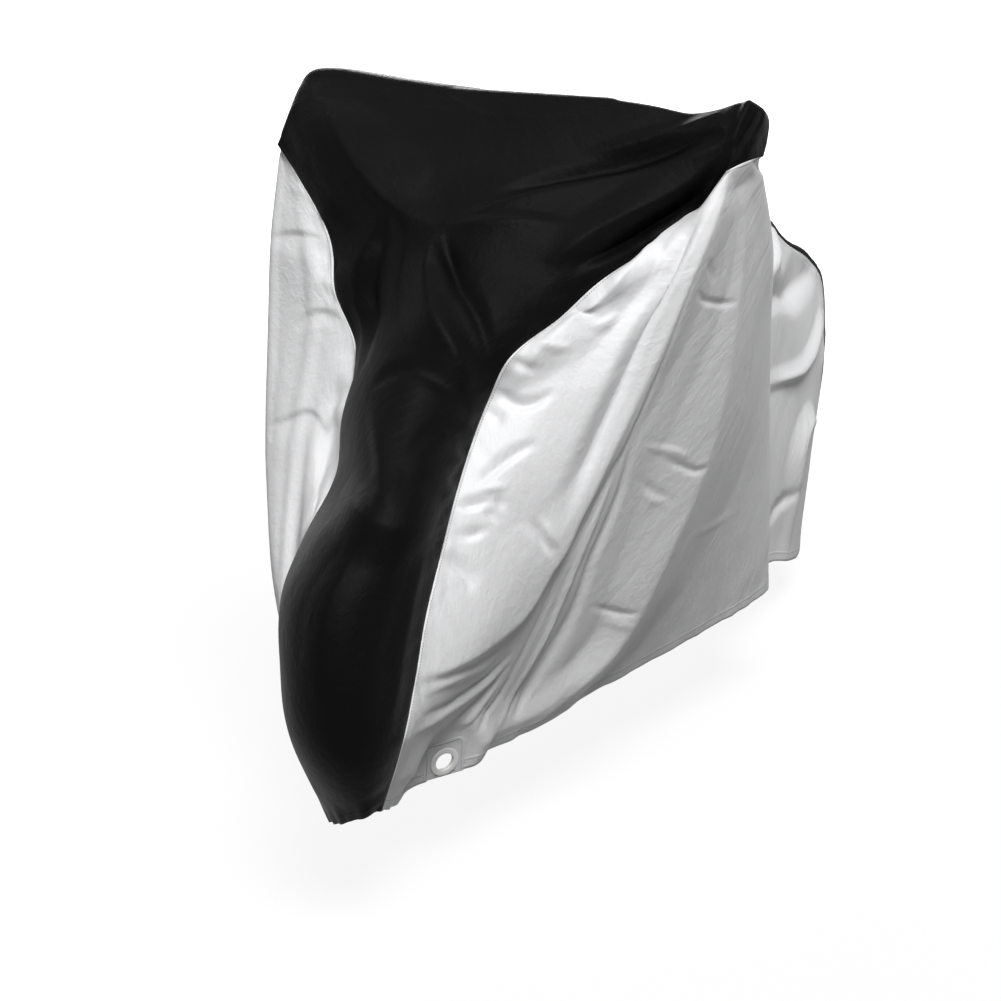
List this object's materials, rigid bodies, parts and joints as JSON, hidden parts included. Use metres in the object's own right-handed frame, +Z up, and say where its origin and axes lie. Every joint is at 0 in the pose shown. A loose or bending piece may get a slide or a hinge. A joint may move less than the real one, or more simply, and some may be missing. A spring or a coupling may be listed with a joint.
{
  "type": "bicycle cover",
  "caption": "Rain cover as it hangs over a parked bicycle, with a dark centre panel, silver side panels and ringed eyelets at the front hem for a lock.",
  "frame": {"origin": "under the top of the cover, where it rests on the middle of the handlebar", "axes": "-Y towards the front wheel, +X towards the rider's left, +Z up"},
  "size_m": [0.7008, 1.7477, 1.0171],
  "materials": {
    "black_cloth": "polyurethane-coated taffeta, dull sheen",
    "silver_cloth": "silver-coated taffeta, satin sheen",
    "eyelet_patch": "doubled silver-coated taffeta",
    "eyelet_ring": "white moulded plastic"
  },
  "bodies": {
    "root": {"centre_panel": "black_cloth", "side_panel_left": "silver_cloth", "side_panel_right": "silver_cloth", "eyelet_patch_left": "eyelet_patch", "eyelet_patch_right": "eyelet_patch", "eyelet_ring_left": "eyelet_ring", "eyelet_ring_right": "eyelet_ring"}
  },
  "joints": []
}
